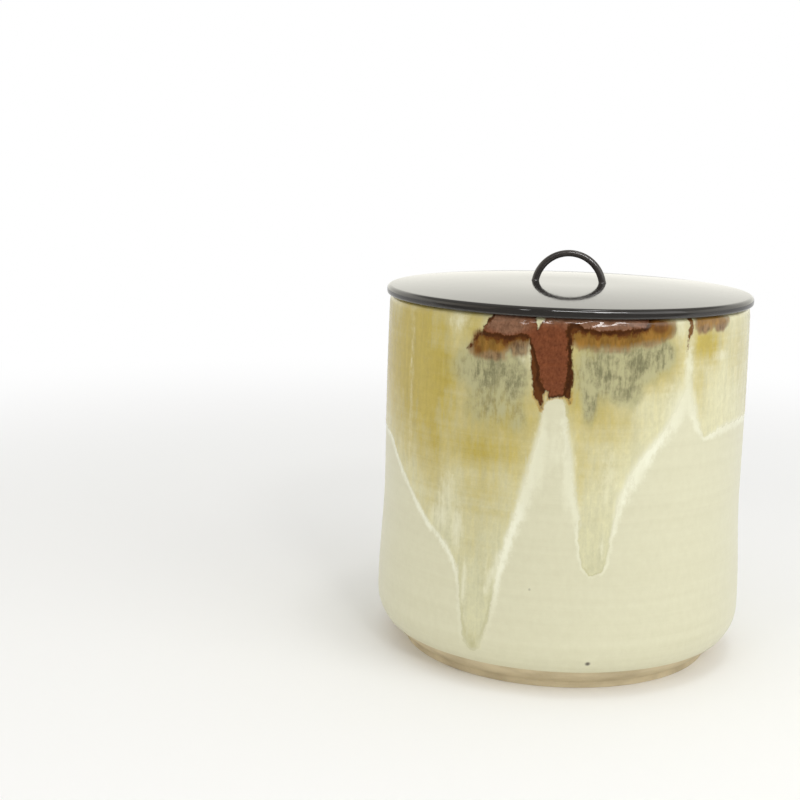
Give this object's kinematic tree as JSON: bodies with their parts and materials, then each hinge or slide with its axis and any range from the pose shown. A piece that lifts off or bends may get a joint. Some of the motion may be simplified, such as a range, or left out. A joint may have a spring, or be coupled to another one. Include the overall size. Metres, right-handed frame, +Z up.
{
  "type": "mizusashi water jar",
  "caption": "Straight-sided glazed stoneware water jar for the tea ceremony, with a lift-off black lacquered wooden lid that has an upright bow handle.",
  "frame": {"origin": "centre of the foot, on the surface that the jar stands on", "axes": "+Z up along the jar's turning axis; the lid's bow lies along X, and the side that the picture shows faces -Y"},
  "size_m": [0.1856, 0.1856, 0.2006],
  "materials": {
    "bare_clay": "matt unglazed stoneware",
    "runny_glaze": "satin gloss glaze with iron and ash runs",
    "lid_lacquer": "polished black lacquer",
    "bow_lacquer": "brown-black lacquer"
  },
  "bodies": {
    "jar": {"clay_body": "bare_clay", "glaze_coat": "runny_glaze"},
    "lid": {"lid_board": "lid_lacquer", "lid_locating_ring": "lid_lacquer", "handle_bow": "bow_lacquer"}
  },
  "joints": [
    {"name": "lid_lift", "type": "slide", "parent": "jar", "child": "lid", "axis": [0, 0, 1], "range_m": [0, 0.15]}
  ]
}
